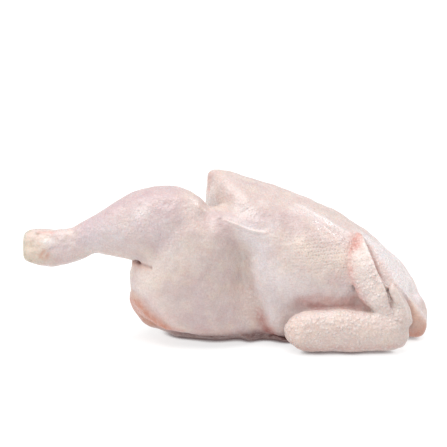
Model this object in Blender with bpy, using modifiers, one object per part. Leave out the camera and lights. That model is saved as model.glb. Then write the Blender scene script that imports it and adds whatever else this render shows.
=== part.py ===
"""Half a raw chicken, cut through the keel and the backbone, resting on its back, thigh and wing.

Metres, +Z up. The origin is at the middle of the underside. +X runs from the hock joint to the neck
end, -Y faces the skin side with the thigh and the wing, and +Y faces the cut side.

The forms are laid out in a frame of their own, where the cut is at CUT_Y, and the finished bird is
moved so that the middle of its underside is at the origin.
"""

import math
from dataclasses import dataclass

import bmesh
import bpy
import numpy as np
from mathutils import Vector

NODE = "half_chicken"

# Driving sizes.
FLOOR = 0.0                    # the surface that the bird rests on
CUT_Y = 0.046                  # the plane of the cut through the keel and the backbone
KEEL_TIP_X = -0.0175           # rear end of the breastbone
NECK_X = 0.1520                # front end of the breast
BREAST_WIDTH = 0.068           # from the cut to the outside of the breast
BELLY_SWEEP = 0.50             # how far the rear edge of the breast runs forwards, for each unit of width
BELLY_LENGTH = 0.065           # length of the breast over which that sweep fades out

HOCK = Vector((-0.1545, 0.0080, 0.0705))
KNEE = Vector((-0.0120, 0.0040, 0.0895))
HOCK_RADIUS = 0.0145
SHANK_RADIUS = 0.0128
CALF_RADIUS = 0.0305
THIGH_WIDTH = 0.0455
THIGH_DEPTH = 0.0300

ELBOW = Vector((0.0430, -0.0290, 0.0160))
WRIST = Vector((0.1350, -0.0270, 0.0165))
FOREARM_RADIUS = 0.0162
WING_TIP = Vector((0.0990, 0.0215, 0.0832))
WING_TIP_HALF_THICKNESS = 0.0048
THUMB_TIP = Vector((0.1228, -0.0240, 0.0545))

CAVITY_DEPTH = 0.036
RIB_PITCH = 0.0170
RIB_HEIGHT = 0.0034
RIB_SLANT = 0.35               # how far a rib leans towards the neck, for each unit of height
FIRST_RIB_X = 0.0120
LAST_RIB_X = 0.1050

SKIN_VOXEL = 0.0021
WING_VOXEL = 0.0015
BODY_TRIANGLES = 6200
WING_TRIANGLES = 3000

SKIN_COLOUR = (0.82, 0.66, 0.60, 1.0)
SKIN_ROUGHNESS = 0.38


@dataclass(frozen=True)
class Ring:
    """One oval of a fleshy form: its middle, and half its height and half its depth.

    In a form that stands up, the height is measured across it, along X.
    """

    x: float
    y: float
    z: float
    half_height: float
    half_depth: float


def clear_scene():
    for obj in list(bpy.data.objects):
        bpy.data.objects.remove(obj, do_unlink=True)


def smooth_through(knots, values, at):
    """A curve through the values at their knots, with Catmull-Rom slopes, read at the places `at`."""
    slopes = np.gradient(values, knots, axis=0)
    i = np.clip(np.searchsorted(knots, at, side="right") - 1, 0, len(knots) - 2)
    span = (knots[i + 1] - knots[i])[:, None]
    t = ((at - knots[i]) / span[:, 0])[:, None]
    return (
        values[i] * (1 + 2 * t) * (1 - t) ** 2
        + slopes[i] * span * t * (1 - t) ** 2
        + values[i + 1] * t * t * (3 - 2 * t)
        + slopes[i + 1] * span * t * t * (t - 1)
    )


def end_scale(along, cap):
    """How much of its full size a form has near its ends, where `cap` of the length is rounded off."""
    near_end = np.clip(np.minimum(along, 1 - along) / cap, 0, 1)
    return np.sqrt(1 - (1 - near_end) ** 2)


def add_form(mesh, rings, sides=36, loops=40, caps=(0.14, 0.14), squareness=2.0, square_to=None):
    """Adds a closed fleshy form to a bmesh: a sphere whose loops are drawn out through the rings.

    caps are the shares of the length that round off each end, for the height and for the depth.
    squareness is the exponent of the ovals, 2 for an ellipse. The ovals lie square to the line
    through the rings, or to the direction square_to if there is one. Returns the form's vertices.
    """
    table = np.array([[r.x, r.y, r.z, r.half_height, r.half_depth] for r in rings])
    steps = np.linalg.norm(np.diff(table[:, :3], axis=0), axis=1)
    knots = np.concatenate([[0.0], np.cumsum(steps)]) / steps.sum()
    made = bmesh.ops.create_uvsphere(mesh, u_segments=sides, v_segments=loops, radius=1.0)
    verts = made["verts"]
    unit = np.array([v.co for v in verts])
    along = np.arccos(np.clip(-unit[:, 2], -1, 1)) / math.pi
    along = (1 - np.cos(along * math.pi)) / 2
    around = np.arctan2(unit[:, 0], unit[:, 1])
    spot = smooth_through(knots, table, along)
    ahead = smooth_through(knots, table, np.clip(along + 0.01, 0, 1))[:, :3]
    behind = smooth_through(knots, table, np.clip(along - 0.01, 0, 1))[:, :3]
    tangent = ahead - behind
    if square_to is not None:
        tangent = np.tile(np.array(square_to, dtype=float), (len(verts), 1))
    tangent /= np.linalg.norm(tangent, axis=1)[:, None]
    depth = np.array([0.0, 1.0, 0.0]) - tangent * tangent[:, 1:2]
    depth /= np.linalg.norm(depth, axis=1)[:, None]
    height = np.cross(tangent, depth)
    power = 2.0 / squareness
    up = np.sign(np.cos(around)) * np.abs(np.cos(around)) ** power
    up *= spot[:, 3] * end_scale(along, caps[0])
    out = np.sign(np.sin(around)) * np.abs(np.sin(around)) ** power
    out *= spot[:, 4] * end_scale(along, caps[1])
    placed = spot[:, :3] + height * up[:, None] + depth * out[:, None]
    for vert, place in zip(verts, placed):
        vert.co = place
    return verts


def breast_rings():
    """The breast, from the rear end of the keel to the neck end, as ovals about the cut plane."""
    profile = (
        # share of the length, top, bottom, share of the width
        (0.00, 0.1222, 0.0400, 0.72),
        (0.05, 0.1232, 0.0240, 0.82),
        (0.26, 0.1140, 0.0020, 0.97),
        (0.47, 0.1018, 0.0000, 1.02),
        (0.67, 0.0840, 0.0000, 1.00),
        (0.82, 0.0648, 0.0000, 0.90),
        (0.93, 0.0458, 0.0000, 0.76),
        (1.00, 0.0300, 0.0020, 0.60),
    )
    length = NECK_X - KEEL_TIP_X
    return [
        Ring(KEEL_TIP_X + share * length, CUT_Y, (top + low) / 2, (top - low) / 2, BREAST_WIDTH * width)
        for share, top, low, width in profile
    ]


def back_rings():
    """The back and the flank below the breast, from the tail end under the thigh to the shoulders."""
    return [
        Ring(-0.0755, 0.0130, 0.0300, 0.0090, 0.0140),
        Ring(-0.0640, 0.0150, 0.0270, 0.0180, 0.0220),
        Ring(-0.0450, 0.0180, 0.0260, 0.0245, 0.0270),
        Ring(-0.0100, 0.0160, 0.0280, 0.0285, 0.0290),
        Ring(0.0250, 0.0110, 0.0260, 0.0262, 0.0260),
        Ring(0.0600, 0.0060, 0.0230, 0.0232, 0.0240),
        Ring(0.1000, 0.0120, 0.0200, 0.0200, 0.0220),
    ]


def flank_rings():
    """The ridge of the flank between the thigh and the breast, level slices from the top down."""
    return [
        Ring(0.0230, 0.0060, 0.0820, 0.0110, 0.0170),
        Ring(0.0270, 0.0040, 0.0620, 0.0150, 0.0215),
        Ring(0.0320, 0.0020, 0.0420, 0.0165, 0.0222),
        Ring(0.0380, 0.0010, 0.0220, 0.0170, 0.0212),
        Ring(0.0440, 0.0010, -0.0060, 0.0160, 0.0180),
    ]


def groin_rings():
    """The web of skin from the knee across to the breast."""
    return [
        Ring(-0.0180, -0.0020, 0.0900, 0.0130, 0.0150),
        Ring(-0.0020, -0.0020, 0.0880, 0.0135, 0.0140),
        Ring(0.0180, -0.0015, 0.0830, 0.0140, 0.0135),
        Ring(0.0400, -0.0015, 0.0770, 0.0140, 0.0130),
    ]


def knee_rings():
    """The flesh between the calf and the thigh, level slices from the top down."""
    return [
        Ring(-0.0280, 0.0040, 0.1040, 0.0200, 0.0200),
        Ring(-0.0320, 0.0030, 0.0880, 0.0290, 0.0262),
        Ring(-0.0320, 0.0030, 0.0720, 0.0300, 0.0280),
        Ring(-0.0300, 0.0030, 0.0540, 0.0300, 0.0285),
    ]


def thigh_rings():
    """The thigh, level slices from the knee down to where it lies on the floor."""
    return [
        Ring(-0.0060, 0.0060, 0.1020, 0.0150, 0.0150),
        Ring(-0.0150, 0.0040, 0.0920, THIGH_WIDTH * 0.56, THIGH_DEPTH * 0.76),
        Ring(-0.0240, 0.0030, 0.0800, THIGH_WIDTH * 0.82, THIGH_DEPTH * 0.90),
        Ring(-0.0285, 0.0030, 0.0620, THIGH_WIDTH * 0.93, THIGH_DEPTH * 0.97),
        Ring(-0.0290, 0.0030, 0.0430, THIGH_WIDTH * 0.97, THIGH_DEPTH),
        Ring(-0.0225, 0.0030, 0.0220, THIGH_WIDTH * 0.98, THIGH_DEPTH * 0.98),
        Ring(-0.0120, 0.0030, 0.0080, THIGH_WIDTH * 0.92, THIGH_DEPTH * 0.88),
        Ring(-0.0030, 0.0030, -0.0070, THIGH_WIDTH * 0.76, THIGH_DEPTH * 0.68),
    ]


def drumstick_rings():
    """The drumstick: a knobbly hock, a slim shank and a full calf that ends at the knee."""
    girths = (
        # share of the way from hock to knee, rise over the straight line, radius
        (0.00, 0.0004, HOCK_RADIUS * 0.90),
        (0.07, -0.0005, HOCK_RADIUS * 0.96),
        (0.15, -0.0027, HOCK_RADIUS * 0.98),
        (0.22, -0.0034, HOCK_RADIUS * 0.95),
        (0.31, -0.0015, SHANK_RADIUS),
        (0.36, 0.0018, SHANK_RADIUS * 1.01),
        (0.42, 0.0034, SHANK_RADIUS * 1.23),
        (0.52, 0.0047, CALF_RADIUS * 0.71),
        (0.60, 0.0051, CALF_RADIUS * 0.85),
        (0.76, 0.0042, CALF_RADIUS),
        (0.92, 0.0003, CALF_RADIUS * 0.82),
        (1.00, -0.0010, CALF_RADIUS * 0.60),
    )
    rings = []
    for share, rise, radius in girths:
        spot = HOCK.lerp(KNEE, share)
        rings.append(Ring(spot.x, spot.y, spot.z + rise, radius, radius * 0.88))
    return rings


def forearm_rings():
    """The middle joint of the wing, lying along the floor from the elbow to the wrist."""
    girths = ((0.0, 0.74), (0.12, 0.93), (0.40, 1.0), (0.75, 0.98), (1.0, 0.92))
    rings = []
    for share, girth in girths:
        spot = ELBOW.lerp(WRIST, share)
        rings.append(Ring(spot.x, spot.y, spot.z, FOREARM_RADIUS * girth, FOREARM_RADIUS * 0.82 * girth))
    return rings


def drumette_rings():
    """The upper joint of the wing, behind the forearm, from the elbow to the shoulder."""
    return [
        Ring(0.0500, -0.0220, 0.0145, 0.0110, 0.0110),
        Ring(0.0800, -0.0120, 0.0150, 0.0145, 0.0130),
        Ring(0.1180, 0.0020, 0.0150, 0.0145, 0.0150),
        Ring(0.1380, 0.0100, 0.0150, 0.0145, 0.0160),
    ]


def shoulder_rings():
    """The round end of flesh at the neck, beside the cut."""
    return [
        Ring(0.1130, 0.0220, 0.0180, 0.0180, 0.0260),
        Ring(0.1360, 0.0190, 0.0165, 0.0170, 0.0260),
        Ring(0.1570, 0.0170, 0.0150, 0.0155, 0.0235),
    ]


def wing_tip_rings():
    """The flat outer joint of the wing, a leaf folded back from the wrist over the breast."""
    return [
        Ring(0.1225, -0.0270, 0.0200, 0.0110, WING_TIP_HALF_THICKNESS * 1.6),
        Ring(0.1150, -0.0250, 0.0330, 0.0132, WING_TIP_HALF_THICKNESS * 1.2),
        Ring(0.1076, -0.0204, 0.0466, 0.0142, WING_TIP_HALF_THICKNESS),
        Ring(0.1012, -0.0113, 0.0628, 0.0125, WING_TIP_HALF_THICKNESS),
        Ring(0.0985, 0.0056, 0.0766, 0.0088, WING_TIP_HALF_THICKNESS * 0.8),
        Ring(WING_TIP.x, WING_TIP.y, WING_TIP.z, 0.0034, WING_TIP_HALF_THICKNESS * 0.5),
    ]


def thumb_rings():
    """The small pointed thumb that stands up from the wrist."""
    return [
        Ring(0.1290, -0.0260, 0.0180, 0.0110, 0.0100),
        Ring(0.1290, -0.0255, 0.0320, 0.0085, 0.0078),
        Ring(0.1262, -0.0248, 0.0430, 0.0052, 0.0052),
        Ring(THUMB_TIP.x, THUMB_TIP.y, THUMB_TIP.z, 0.0016, 0.0018),
    ]


def cavity_rings():
    """The hollow of the body, from the vent to the neck, open at the cut."""
    profile = (
        # place along the bird, top, bottom, share of the depth
        (-0.0460, 0.0480, 0.0240, 0.50),
        (-0.0250, 0.0680, 0.0180, 0.72),
        (0.0100, 0.0930, 0.0150, 0.98),
        (0.0500, 0.0850, 0.0130, 1.00),
        (0.0900, 0.0660, 0.0120, 0.90),
        (0.1250, 0.0420, 0.0130, 0.60),
    )
    return [
        Ring(x, CUT_Y, (top + low) / 2, (top - low) / 2, CAVITY_DEPTH * depth)
        for x, top, low, depth in profile
    ]


def collection(name):
    """The collection of that name, made in the scene if it isn't there."""
    found = bpy.data.collections.get(name)
    if found is None:
        found = bpy.data.collections.new(name)
        bpy.context.scene.collection.children.link(found)
    return found


def object_from(mesh, name, collection_name):
    """An object that holds the bmesh, which is freed, in the collection of that name."""
    data = bpy.data.meshes.new(name)
    mesh.to_mesh(data)
    mesh.free()
    obj = bpy.data.objects.new(name, data)
    collection(collection_name).objects.link(obj)
    return obj


def settle(obj):
    """Puts the object's evaluated mesh in place of its modifiers."""
    graph = bpy.context.evaluated_depsgraph_get()
    data = bpy.data.meshes.new_from_object(obj.evaluated_get(graph))
    obj.modifiers.clear()
    obj.data = data


def fuse(obj, voxel, smoothing, triangles):
    """Makes overlapping forms one skin, softens where they meet and brings it to about that many triangles."""
    remesh = obj.modifiers.new("fuse", "REMESH")
    remesh.mode = "VOXEL"
    remesh.voxel_size = voxel
    soften = obj.modifiers.new("soften", "SMOOTH")
    soften.factor = 0.5
    soften.iterations = smoothing
    settle(obj)
    thin = obj.modifiers.new("thin", "DECIMATE")
    thin.ratio = triangles / (2 * len(obj.data.polygons))
    settle(obj)


def add_breast(mesh):
    """The breast, whose rear edge is swept forwards from the keel towards the thigh."""
    verts = add_form(
        mesh, breast_rings(), sides=48, loops=64, caps=(0.025, 0.10), squareness=2.2, square_to=(1, 0, 0)
    )
    for vert in verts:
        fade = max(0.0, 1 - (vert.co.x - KEEL_TIP_X) / BELLY_LENGTH)
        vert.co.x += BELLY_SWEEP * abs(CUT_Y - vert.co.y) * fade


def make_body():
    mesh = bmesh.new()
    add_breast(mesh)
    add_form(mesh, back_rings(), sides=40, caps=(0.10, 0.10), squareness=2.2, square_to=(1, 0, 0))
    add_form(mesh, flank_rings(), square_to=(0, 0, -1))
    add_form(mesh, groin_rings())
    add_form(mesh, thigh_rings(), sides=48, squareness=2.1, square_to=(0, 0, -1))
    add_form(mesh, knee_rings(), caps=(0.30, 0.30), square_to=(0, 0, -1))
    add_form(mesh, drumstick_rings(), sides=40, loops=64, caps=(0.05, 0.05))
    add_form(mesh, shoulder_rings(), caps=(0.30, 0.30), square_to=(1, 0, 0))
    body = object_from(mesh, NODE, NODE)
    fuse(body, SKIN_VOXEL, smoothing=12, triangles=BODY_TRIANGLES)
    return body


def make_wing():
    mesh = bmesh.new()
    add_form(mesh, forearm_rings(), caps=(0.16, 0.16))
    add_form(mesh, drumette_rings())
    add_form(mesh, wing_tip_rings(), sides=28, caps=(0.10, 0.10))
    add_form(mesh, thumb_rings(), sides=20)
    wing = object_from(mesh, "wing", "cutters")
    fuse(wing, WING_VOXEL, smoothing=3, triangles=WING_TRIANGLES)
    return wing


def make_block(name, low, high):
    """A box between two corners, used as a cutter."""
    mesh = bmesh.new()
    bmesh.ops.create_cube(mesh, size=1.0)
    low, high = Vector(low), Vector(high)
    for vert in mesh.verts:
        vert.co = (low + high) / 2 + vert.co * (high - low)
    return object_from(mesh, name, "cutters")


def make_cavity():
    """The cutter for the hollow of the body, whose wall is drawn in along each rib."""
    mesh = bmesh.new()
    for vert in add_form(mesh, cavity_rings(), sides=40, loops=64, caps=(0.16, 0.16), square_to=(1, 0, 0)):
        if vert.co.y < CUT_Y and FIRST_RIB_X < vert.co.x < LAST_RIB_X:
            place = (vert.co.x - RIB_SLANT * vert.co.z) / RIB_PITCH
            vert.co.y += RIB_HEIGHT * max(0.0, math.cos(place * math.tau)) ** 2
    return object_from(mesh, "cavity", "cutters")


def boolean(obj, other, operation):
    """Joins the other object to obj or cuts it away, and removes it."""
    step = obj.modifiers.new(operation.lower(), "BOOLEAN")
    step.object = other
    step.operation = operation
    step.solver = "EXACT"
    settle(obj)
    bpy.data.objects.remove(other, do_unlink=True)


def centre_underside(obj):
    """Moves the mesh so that the middle of its underside is at the origin."""
    low = Vector(min(v.co[axis] for v in obj.data.vertices) for axis in range(3))
    high = Vector(max(v.co[axis] for v in obj.data.vertices) for axis in range(3))
    middle = (low + high) / 2
    for vert in obj.data.vertices:
        vert.co -= Vector((middle.x, middle.y, low.z))


def skin_material():
    material = bpy.data.materials.new("raw_skin")
    material.use_nodes = True
    shader = material.node_tree.nodes["Principled BSDF"]
    shader.inputs["Base Color"].default_value = SKIN_COLOUR
    shader.inputs["Roughness"].default_value = SKIN_ROUGHNESS
    shader.inputs["Metallic"].default_value = 0.0
    return material


def main():
    clear_scene()
    bird = make_body()
    boolean(bird, make_wing(), "UNION")
    boolean(bird, make_block("behind_the_cut", (-0.2, CUT_Y, -0.1), (0.2, 0.2, 0.2)), "DIFFERENCE")
    boolean(bird, make_cavity(), "DIFFERENCE")
    boolean(bird, make_block("under_the_floor", (-0.2, -0.2, -0.1), (0.2, 0.2, FLOOR)), "DIFFERENCE")
    centre_underside(bird)
    bird.data.materials.clear()
    bird.data.materials.append(skin_material())
    bird.data.shade_smooth()
    bird.data.set_sharp_from_angle(angle=math.radians(50))


main()
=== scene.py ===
"""The looks of a raw half chicken: its plucked skin, its cut side and the studio that it lies in.

Metres, +Z up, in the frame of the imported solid, whose origin is the middle of the underside. Places
on the bird are given in millimetres, as (x, y, z), and are turned into metres where they are used.
"""

from __future__ import annotations

import logging
import math
from collections.abc import Iterable, Sequence
from dataclasses import dataclass
from enum import Enum
from typing import ClassVar

import bmesh
import bpy
import numpy as np
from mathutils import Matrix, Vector, noise
from mathutils.kdtree import KDTree


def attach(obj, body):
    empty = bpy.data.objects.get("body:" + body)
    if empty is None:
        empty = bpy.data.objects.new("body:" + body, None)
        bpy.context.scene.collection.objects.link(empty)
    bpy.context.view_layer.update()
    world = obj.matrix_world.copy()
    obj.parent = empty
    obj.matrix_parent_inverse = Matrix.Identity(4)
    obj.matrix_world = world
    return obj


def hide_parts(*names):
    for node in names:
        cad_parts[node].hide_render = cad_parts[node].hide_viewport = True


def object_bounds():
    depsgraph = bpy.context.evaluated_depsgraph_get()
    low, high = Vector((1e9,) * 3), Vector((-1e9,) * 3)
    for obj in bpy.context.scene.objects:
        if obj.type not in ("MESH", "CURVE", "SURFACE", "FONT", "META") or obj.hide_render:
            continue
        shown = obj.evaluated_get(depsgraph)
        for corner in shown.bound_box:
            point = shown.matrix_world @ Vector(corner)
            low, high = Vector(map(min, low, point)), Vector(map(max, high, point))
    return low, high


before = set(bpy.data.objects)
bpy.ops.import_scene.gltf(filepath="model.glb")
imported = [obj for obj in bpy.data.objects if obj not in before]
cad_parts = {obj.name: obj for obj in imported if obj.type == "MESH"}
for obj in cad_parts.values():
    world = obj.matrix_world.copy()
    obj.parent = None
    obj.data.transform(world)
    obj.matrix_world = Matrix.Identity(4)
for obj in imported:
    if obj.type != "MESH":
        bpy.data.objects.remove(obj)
CAD_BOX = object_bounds()

LOG = logging.getLogger("half_chicken")
NODE = "half_chicken"
BODY = "root"
MM = 0.001
TINY = 1e-12                       # keeps a share from failing where two places are one
CUT_Y = CAD_BOX[1].y               # the plane of the cut

Point = tuple[float, float, float]
Station = tuple[float, float, float, float]
Colour = tuple[float, float, float]


class Mask(Enum):
    """Where a tint lies on the bird, kept as a number from 0 to 1 on each point of the mesh."""

    MAUVE = "mauve"                # dark meat that shows through thin skin
    CREAM = "cream"                # fat under the skin
    PALE_AND_PAINTED_LIGHT = "pale"                  # bluish membrane and stretched skin, and painted light on skin in shade
    BLUSH = "blush"                # blood-red skin
    FLESH = "flesh"                # bare orange-pink meat and fat
    WET_AND_PAINTED_LIGHT = "wet"                    # taut skin that glistens; its near-white colour is painted highlight and painted light
    CREASE = "crease"              # painted shade in folds, gaps, hollows and above the table, and a few real dark specks
    CONTACT_SHADE = "damp"                  # painted contact shadow, dark red, just above the table and deep in creases
    SALLOW = "sallow"              # greyish green gristle at the cut hock
    BUMPY = "bumpy"                # skin with strong feather follicles
    DOTTED = "dotted"              # skin with rows of fine follicles
    MEAT = "meat"                  # the cut muscle
    BONE = "bone"                  # cut bone and gristle
    MARROW = "marrow"              # red marrow and blood in the cut bones
    HOLLOW = "hollow"              # the lining of the chest


class Stroke:
    """One pull of the modelling tool along a line, and the tints that it leaves."""

    def __init__(
        self, path: Sequence[Point], reach: float, height: float = 0.0, spread: float = 1.0, **tints: float
    ) -> None:
        """Takes the line and what is done along it.

        Args:
            path: The places that the line runs through, in millimetres.
            reach: Distance from the line at which the effect has faded to about a third, in millimetres.
            height: How far the surface is raised, or pressed in if negative, in millimetres.
            spread: How much wider the tints reach than the shape.
            **tints: The strengths of the tints, from 0 to 1, each under the name of its mask.
        """
        self.path = path
        self.reach = reach
        self.height = height
        self.spread = spread
        self.tints = {Mask(name): strength for name, strength in tints.items()}


def ramp(values: np.ndarray, width: float) -> np.ndarray:
    """Turns values into shares, which are 0 up to zero and rise to 1 over a width."""
    return np.clip(values / width, 0, 1)


def smooth_line(path: Sequence[Point] | Sequence[Station], steps: int = 6) -> np.ndarray:
    """Draws a Catmull-Rom curve through a few places, and through any size given with each.

    Args:
        path: The places, in millimetres.
        steps: The number of points for each stretch.

    Returns:
        The curve's points, in metres.
    """
    knots = np.array(path, dtype=float) * MM
    if len(knots) < 3:
        return knots
    ends = np.vstack([2 * knots[0] - knots[1], knots, 2 * knots[-1] - knots[-2]])
    share = np.linspace(0, 1, steps, endpoint=False)[:, None]
    drawn = []
    for a, b, c, d in zip(ends, ends[1:], ends[2:], ends[3:]):
        curve = 2 * b + (c - a) * share + (2 * a - 5 * b + 4 * c - d) * share**2
        drawn.append((curve + (3 * b - a - 3 * c + d) * share**3) / 2)
    drawn.append(knots[-1:])
    return np.vstack(drawn)


@dataclass(frozen=True)
class Blade:
    """A flat pointed limb that faces the front, thin along its left edge and thick along its right.

    Attributes:
        stations: Places along its middle, each with half the width there, in millimetres.
        thin: Half the thickness along the left edge, in millimetres.
        thick: Half the thickness along the right edge, in millimetres.
        lean: How far its right edge is turned towards the front, in degrees.
        sides: How many points go round it.
    """

    stations: tuple[Station, ...]
    thin: float
    thick: float
    lean: float = 0.0
    sides: int = 24

    def add_to(self, mesh: bmesh.types.BMesh) -> None:
        """Adds the closed form to a mesh."""
        rows = smooth_line(self.stations)
        middles = [Vector(row[:3]) for row in rows]
        lean = math.radians(self.lean)
        across = Vector((math.cos(lean), -math.sin(lean), 0.0))
        rings = []
        for number, (middle, half) in enumerate(zip(middles, rows[:, 3])):
            way = middles[min(number + 1, len(rows) - 1)] - middles[max(number - 1, 0)]
            front = across.cross(way).normalized()
            taper = min(1.0, half / (self.thick * MM))
            ring = []
            for step in range(self.sides):
                turn = math.tau * step / self.sides
                side, lift = math.cos(turn), math.sin(turn)
                depth = (self.thin + (self.thick - self.thin) * (1 + side) / 2) * taper * MM
                ring.append(mesh.verts.new(middle + across * side * half + front * lift * depth))
            rings.append(ring)
        for ring, following in zip(rings, rings[1:]):
            for step in range(self.sides):
                after = (step + 1) % self.sides
                mesh.faces.new((ring[step], ring[after], following[after], following[step]))
        mesh.faces.new(rings[0])
        mesh.faces.new(rings[-1])


class Clay:
    """A dense mesh that is modelled by moving its points, and tinted point by point."""

    seed_step: ClassVar[Point] = (17.3, 5.1, 9.7)      # how far apart the patterns of two seeds lie

    def __init__(self, mesh: bpy.types.Mesh) -> None:
        """Takes the mesh's points and edges.

        Args:
            mesh: The closed mesh to model.
        """
        self.mesh = mesh
        count = len(mesh.vertices)
        self.points = np.empty(count * 3, dtype=np.float32)
        mesh.vertices.foreach_get("co", self.points)
        self.points = self.points.reshape(-1, 3).astype(float)
        ends = np.empty(len(mesh.edges) * 2, dtype=np.int32)
        mesh.edges.foreach_get("vertices", ends)
        ends = ends.reshape(-1, 2)
        self.from_ends = np.concatenate([ends[:, 0], ends[:, 1]])
        self.to_ends = np.concatenate([ends[:, 1], ends[:, 0]])
        self.degree = np.bincount(self.from_ends, minlength=count).astype(float)
        self.normals = np.zeros_like(self.points)
        self.masks = {mask: np.zeros(count) for mask in Mask}
        self.refresh()

    def refresh(self) -> None:
        """Writes the points back to the mesh and reads its new normals."""
        self.mesh.vertices.foreach_set("co", self.points.astype(np.float32).ravel())
        self.mesh.update()
        flat = np.empty(len(self.points) * 3, dtype=np.float32)
        self.mesh.vertex_normals.foreach_get("vector", flat)
        self.normals = flat.reshape(-1, 3).astype(float)

    def neighbour_mean(self, values: np.ndarray) -> np.ndarray:
        """Averages a value, given for each point, over the point's neighbours."""
        sums = np.bincount(self.from_ends, weights=values[self.to_ends], minlength=len(values))
        return sums / self.degree

    def blur(self, values: np.ndarray, rounds: int) -> np.ndarray:
        """Spreads a value, or a choice of points, over the surface, a few neighbours at a time."""
        values = values.astype(float)
        for _ in range(rounds):
            values = (values + self.neighbour_mean(values)) / 2
        return values

    def soften(self, rounds: int, weight: np.ndarray | float = 1.0) -> None:
        """Smooths the shape.

        Args:
            rounds: How many times each point moves towards its neighbours' middle.
            weight: How strongly, from 0 to 1, for all points or for each.
        """
        share = np.broadcast_to(weight, len(self.points))[:, None] / 2
        for _ in range(rounds):
            middle = np.stack([self.neighbour_mean(self.points[:, k]) for k in range(3)], axis=1)
            self.points += (middle - self.points) * share
        self.refresh()

    def distance(self, path: Sequence[Point], limit: float) -> np.ndarray:
        """Measures how far each point is from a line.

        Args:
            path: The places that the line runs through, in millimetres.
            limit: The distance past which nothing is measured, in metres.

        Returns:
            The distances in metres, infinite past the limit.
        """
        line = smooth_line(path)
        found = np.full(len(self.points), np.inf)
        near = np.all(
            (self.points > line.min(axis=0) - limit) & (self.points < line.max(axis=0) + limit), axis=1
        )
        spots = self.points[near]
        best = np.full(len(spots), np.inf)
        if len(line) == 1:
            best = np.linalg.norm(spots - line[0], axis=1)
        for start, end in zip(line, line[1:]):
            way = end - start
            share = np.clip((spots - start) @ way / max(way @ way, TINY), 0, 1)
            best = np.minimum(best, np.linalg.norm(spots - start - share[:, None] * way, axis=1))
        found[near] = best
        return found

    def wash(self, path: Sequence[Point], reach: float) -> np.ndarray:
        """Gives each point 1 on a line, and less away from it: about a third at the reach, in millimetres."""
        return np.exp(-((self.distance(path, 3 * reach * MM) / (reach * MM)) ** 2))

    def tint(self, mask: Mask, amount: np.ndarray) -> None:
        """Adds a tint over what is there, so that two washes never pass full strength."""
        amount = np.clip(amount, 0, 1)
        self.masks[mask] = 1 - (1 - self.masks[mask]) * (1 - amount)

    def pull(self, strokes: Iterable[Stroke]) -> None:
        """Makes the strokes one after another, along the normals that the surface has at the start.

        Args:
            strokes: The strokes to make.
        """
        moved = np.zeros(len(self.points))
        for stroke in strokes:
            if stroke.height:
                moved += stroke.height * MM * self.wash(stroke.path, stroke.reach)
            if stroke.tints:
                wash = self.wash(stroke.path, stroke.reach * stroke.spread)
                for mask, strength in stroke.tints.items():
                    self.tint(mask, wash * strength)
        self.points += self.normals * moved[:, None]
        self.refresh()

    def wander(self, size: float, seed: int = 0) -> np.ndarray:
        """Gives each point a smoothly changing number around 0, in swellings of one size in millimetres."""
        offset = Vector([step * seed for step in self.seed_step])
        return np.array([noise.noise(Vector(spot) + offset) for spot in self.points / (size * MM)])

    def roughen(self, size: float, height: float, weight: np.ndarray | float = 1.0, seed: int = 0) -> None:
        """Adds uneven swellings of one width and height, in millimetres, where the weight is above 0."""
        self.points += self.normals * (self.wander(size, seed) * height * MM * weight)[:, None]
        self.refresh()

    def hollows(self, rounds: int, depth: float) -> np.ndarray:
        """Finds where the surface is hollow.

        Args:
            rounds: How wide a stretch counts, in rounds of blurring.
            depth: The depth below the surface around at which a hollow counts fully, in millimetres.

        Returns:
            A number from 0 on flat or swelling skin to 1 in a hollow, for each point.
        """
        spread = np.stack([self.blur(self.points[:, k], rounds) for k in range(3)], axis=1)
        sunk = np.einsum("ij,ij->i", spread - self.points, self.normals)
        return np.clip(sunk / (depth * MM), 0, 1)

    def keep_inside(self, low: Vector, high: Vector) -> None:
        """Keeps every point inside a box."""
        self.points = np.clip(self.points, np.array(low), np.array(high))
        self.refresh()

    def store_masks(self) -> None:
        """Writes the tints to the mesh, one attribute for each."""
        for mask, values in self.masks.items():
            layer = self.mesh.attributes.new(mask.value, "FLOAT", "POINT")
            layer.data.foreach_set("value", values.astype(np.float32))


class Value:
    """A socket in a shader, on which sums are written as on a number."""

    def __init__(self, shader: Shader, socket: bpy.types.NodeSocket) -> None:
        """Wraps a socket of a shader."""
        self.shader = shader
        self.socket = socket

    def __add__(self, other: Value | float) -> Value:
        """Adds."""
        return self.shader.math("ADD", self, other)

    def __sub__(self, other: Value | float) -> Value:
        """Takes away."""
        return self.shader.math("SUBTRACT", self, other)

    def __mul__(self, other: Value | float) -> Value:
        """Multiplies."""
        return self.shader.math("MULTIPLY", self, other)


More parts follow.
